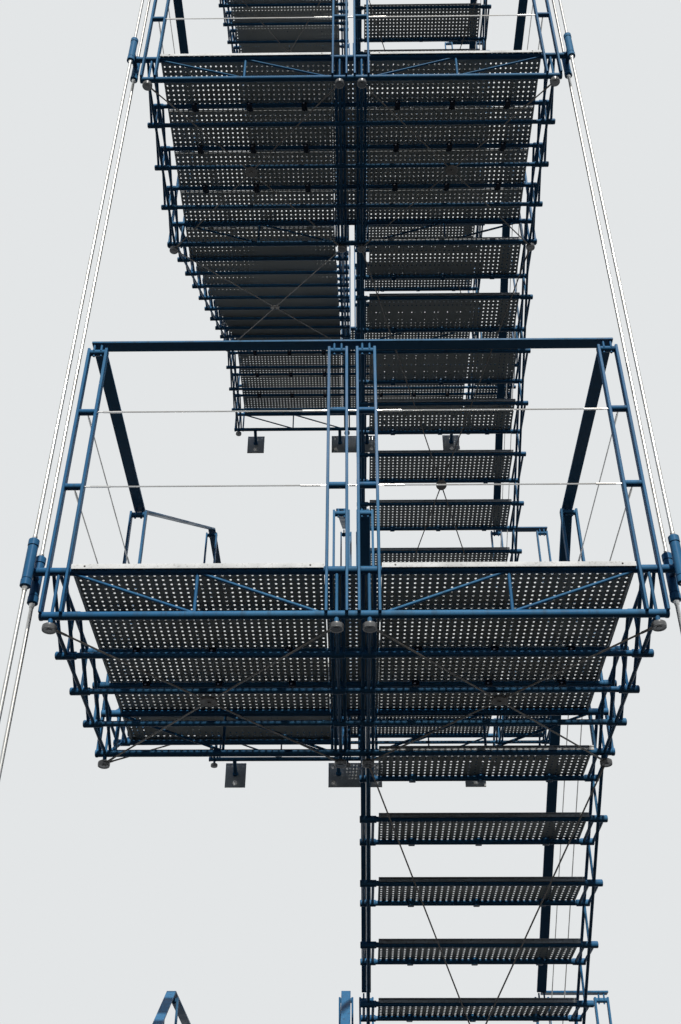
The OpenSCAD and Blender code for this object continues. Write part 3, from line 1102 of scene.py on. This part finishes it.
def outerGuards():
    rails = bmesh.new()
    wires = bmesh.new()
    reach = stair["sideX"] + railHalf
    addHandrail(rails, Vector((-reach, -railY, 0)), Vector((reach, -railY, 0)))
    reach = stair["middleX"] - postOut
    addWires(wires, Vector((-reach, -postY, 0)), Vector((reach, -postY, 0)))
    for s in (-1, 1):
        addWires(wires, Vector((s * (stair["middleX"] + postOut), -postY, 0)),
                 Vector((s * (stair["sideX"] - postOut), -postY, 0)))
        addSideGuard(rails, wires, s * stair["sideX"], railHalf - railY + guard["joint"])
    return keepMesh(rails, "outerRails"), keepMesh(wires, "outerWires")


def innerGuards():
    rails = bmesh.new()
    wires = bmesh.new()
    addSideGuard(rails, wires, -stair["sideX"], -railY - railHalf)
    addHandrail(rails, Vector((stair["sideX"], -railY, 0)), Vector((stair["endX"], -railY, 0)))
    addWires(wires, Vector((postOut + stair["sideX"], -postY, 0)),
             Vector((stair["endX"] - 2 * postOut, -postY, 0)))
    return keepMesh(rails, "innerRails"), keepMesh(wires, "innerWires")


# The lowest flight's rails go on level to the posts at its foot
def flightGuards(first, steps):
    rails = bmesh.new()
    wires = bmesh.new()
    half = Vector((0, railY + railHalf + guard["joint"], 0))
    tie = Vector((0, guard["tie"], 0))
    for x in (stair["middleX"], stair["sideX"]):
        start = upper(x, first)
        end = upper(x, steps)
        addHandrail(rails, start + half, end - half)
        if first:
            newel = Vector((x, newelY, start.z))
            addHandrail(rails, newel - Vector((0, railHalf, 0)),
                        start + half + Vector((0, guard["overlap"], 0)))
            start = newel
        addWires(wires, start + tie, end - tie)
    return keepMesh(rails, "flightRails"), keepMesh(wires, "flightWires")


outerPair = outerGuards()
innerPair = innerGuards()
flightPairs = [flightGuards(*span) for span in flightSpans]
for k, at in flightAts.items():
    rails, wires = flightPairs[k > 1]
    topRails, topWires = innerPair if k % 2 else outerPair
    topAt = innerAts[(k + 1) // 2] if k % 2 else outerAts[k // 2]
    makePiece(f"handrails_{k}", [(rails, at), (topRails, topAt)], bluePaint, [f"rails_{k}"])
    makePiece(f"guardWires_{k}", [(wires, at), (topWires, topAt)], brightSteel)
print("stage: guards made")


# Crossed rods under the outer landings and the flights, with a flat hub in the middle
brace = {
    "drop": 0.243,
    "rod": 0.0037,
    "hub": 0.035,
    "hubSides": 24,
    "hubThick": 0.012,
    "bolt": 0.009,
    "boltTimes": 2,
    "boltSoft": 0.001,
    "reach": 0.022,
    "eye": 0.0047,
    "eyeSides": 10,
    "eyeLength": 0.055,
    "innerLong": 0.8,
    "innerWide": 0.85,
    "soft": 0.002,
}


def addCrossBrace(bm, low, high):
    middle = (low + high) / 2
    slope = math.atan2(high.z - low.z, high.y - low.y)
    for x in (low.x, high.x):
        for end in (low, high):
            tip = Vector((x, end.y, end.z))
            way = (middle - tip).normalized()
            start = tip + way * brace["reach"]
            stop = middle - way * brace["hub"] / 2
            addTube(bm, start, stop, brace["rod"], thinSides)
            addCollar(bm, start, start + way * brace["eyeLength"], brace["eye"], brace["eyeSides"],
                      brace["soft"])
            addCollar(bm, stop - way * brace["eyeLength"] * brace["innerLong"], stop,
                      brace["eye"] * brace["innerWide"], brace["eyeSides"], brace["soft"])
    up = Vector((0, -math.sin(slope), math.cos(slope))) * brace["hubThick"] / 2
    addCollar(bm, middle - up, middle + up, brace["hub"], brace["hubSides"], brace["soft"])
    up *= brace["boltTimes"]
    addCollar(bm, middle - up, middle + up, brace["bolt"], boltSides, brace["boltSoft"])


def landingBraces():
    bm = bmesh.new()
    for s in (-1, 1):
        addCrossBrace(bm, Vector((s * stair["middleX"], 0, -brace["drop"])),
                      Vector((s * stair["sideX"], landingDepth, -brace["drop"])))
    return keepMesh(bm, "landingBraces")


def flightBraces():
    bm = bmesh.new()
    addCrossBrace(bm, Vector((stair["middleX"], 0, -brace["drop"])),
                  Vector((stair["sideX"], flightRun, halfStorey - brace["drop"])))
    return keepMesh(bm, "flightBraces")


underLanding = landingBraces()
underFlight = flightBraces()
braces = [(underLanding, at) for at in outerAts.values()]
braces += [(underFlight, at) for k, at in flightAts.items() if k > 1]
makePiece("undersideBraces", braces, dullSteel, ["underside_braces"])

# The rods and the plates stay as CAD made them, with a finish of their own
for node, material in (("hanger_rods", brightSteel), ("anchor_plates", plateMetal)):
    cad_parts[node].data.materials.clear()
    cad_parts[node].data.materials.append(material)
print("stage: braces made")


# Nuts, washers and screws
fixing = {
    "boltX": 0.170,
    "boltZ": 0.065,
    "bolt": 0.008,
    "boltOut": 0.028,
    "boltSides": 12,
    "wallNut": (0.0150, 0.013),
    "footNut": (0.0145, 0.014),
    "topNut": (0.0135, 0.013),
    "nutSoft": 0.0012,
    "washerThick": 0.003,
    "washerTimes": 1.3,
    "washerSides": 16,
    "washerSoft": 0.0006,
    "screw": 0.0038,
    "screwSides": 10,
    "screwIn": 0.050,
    "screwSink": 0.001,
    "screwHigh": 0.003,
    "screwSoft": 0.001,
}


# A nut, given by its radius and its height, on a washer
def addNut(bm, at, way, nut):
    radius, high = nut
    thick = fixing["washerThick"]
    addCollar(bm, at, at + way * thick, radius * fixing["washerTimes"], fixing["washerSides"],
              fixing["washerSoft"])
    addCollar(bm, at + way * thick, at + way * (thick + high), radius, boltSides, fixing["nutSoft"])


def wallNuts():
    bm = bmesh.new()
    face = landingDepth + stair["wallGap"] - wallArm["plate"]
    z = -trussDepth - stair["bracketDrop"]
    out = Vector((0, -1, 0))
    for x in (-fixing["boltX"], fixing["boltX"], -wallArm["x"], wallArm["x"]):
        for dz in (-fixing["boltZ"], fixing["boltZ"]):
            at = Vector((x, face, z + dz))
            addNut(bm, at, out, fixing["wallNut"])
            addTube(bm, at, at + out * fixing["boltOut"], fixing["bolt"], fixing["boltSides"])
    return keepMesh(bm, "wallNuts")


def rodNuts():
    bm = bmesh.new()
    up = Vector((0, 0, 1))
    top = (stair["outerLandings"] - 1) * 2 * halfStorey + sleeve["length"] / 2 + sleeve["neck"]
    for at in rodSpots:
        addNut(bm, at + up * (groundZ + footThick), up, fixing["footNut"])
        addNut(bm, at + up * top, up, fixing["topNut"])
    return keepMesh(bm, "rodNuts")


def lipScrews():
    bm = bmesh.new()
    out = Vector((0, -fixing["screwHigh"], 0))
    reach = plate["treadWidth"] / 2 - fixing["screwIn"]
    for s in (-1, 1):
        for x in (s * bayX - reach, s * bayX + reach):
            at = Vector((x, -plate["front"] + fixing["screwSink"], plate["top"] - plate["lip"] / 2))
            addCollar(bm, at, at + out, fixing["screw"], fixing["screwSides"], fixing["screwSoft"])
    return keepMesh(bm, "lipScrews")


nuts = wallNuts()
screws = lipScrews()
makePiece("fixings", [(nuts, at) for at in innerAts.values()] + [(rodNuts(), origin)], brightSteel)
makePiece("plankScrews", [(screws, at) for at in landingAts], dullSteel)
print("stage: fixings made")


# Stage: pale to the camera and in reflections, dark to the light that bounces up
stage = {
    "floorSize": 60,
    "floorRoughness": 0.9,
    "floor": (0.60, 0.61, 0.61),
    "bounce": (0.022, 0.021, 0.018),
    "background": (0.77, 0.79, 0.80),
    "sky": (0.62, 0.74, 0.95),
    "skyStrength": (0.0, 0.58),
    "skyRange": (0.0, 0.75),
    "sunStrength": 3.75,
    "sunColour": (1.0, 0.95, 0.88),
    "sunAngle": 1.5,
    "sunTurn": (47, 0, 6),
}


def seenRay(tree):
    rays = tree.nodes.new("ShaderNodeLightPath").outputs
    seen = mathNode(tree, "MAXIMUM", rays["Is Camera Ray"], rays["Is Glossy Ray"])
    return mathNode(tree, "MAXIMUM", seen, rays["Is Transmission Ray"])


def makeFloor():
    bm = bmesh.new()
    bmesh.ops.create_grid(bm, x_segments=1, y_segments=1, size=stage["floorSize"])
    bmesh.ops.translate(bm, verts=bm.verts[:], vec=(0, 0, cadBox[0].z))
    mesh = keepMesh(bm, "floor")
    floor = addObject("floor", mesh)
    material, tree, shader = newMaterial("floor")
    colour = mixColour(tree, seenRay(tree), stage["bounce"], stage["floor"])
    tree.links.new(colour, shader.inputs["Base Color"])
    shader.inputs["Roughness"].default_value = stage["floorRoughness"]
    shader.inputs["Specular IOR Level"].default_value = 0
    mesh.materials.append(material)


def makeWorld():
    world = bpy.data.worlds.new("studio")
    world.use_nodes = True
    tree = world.node_tree
    back = tree.nodes["Background"]
    tree.links.new(mixColour(tree, seenRay(tree), stage["sky"], stage["background"]), back.inputs["Color"])
    split = tree.nodes.new("ShaderNodeSeparateXYZ")
    tree.links.new(tree.nodes.new("ShaderNodeTexCoord").outputs["Generated"], split.inputs[0])
    height = rampNode(tree, split.outputs["Z"], *stage["skyRange"])
    glow = spanNode(tree, height, stage["skyStrength"])
    tree.links.new(mathNode(tree, "MAXIMUM", seenRay(tree), glow), back.inputs["Strength"])
    bpy.context.scene.world = world


def makeSun():
    data = bpy.data.lights.new("sun", "SUN")
    data.energy = stage["sunStrength"]
    data.color = stage["sunColour"]
    data.angle = math.radians(stage["sunAngle"])
    addObject("sun", data).rotation_euler = [math.radians(angle) for angle in stage["sunTurn"]]


makeFloor()
makeWorld()
makeSun()
bpy.context.scene.view_settings.view_transform = "Standard"
print("stage: light and floor made")
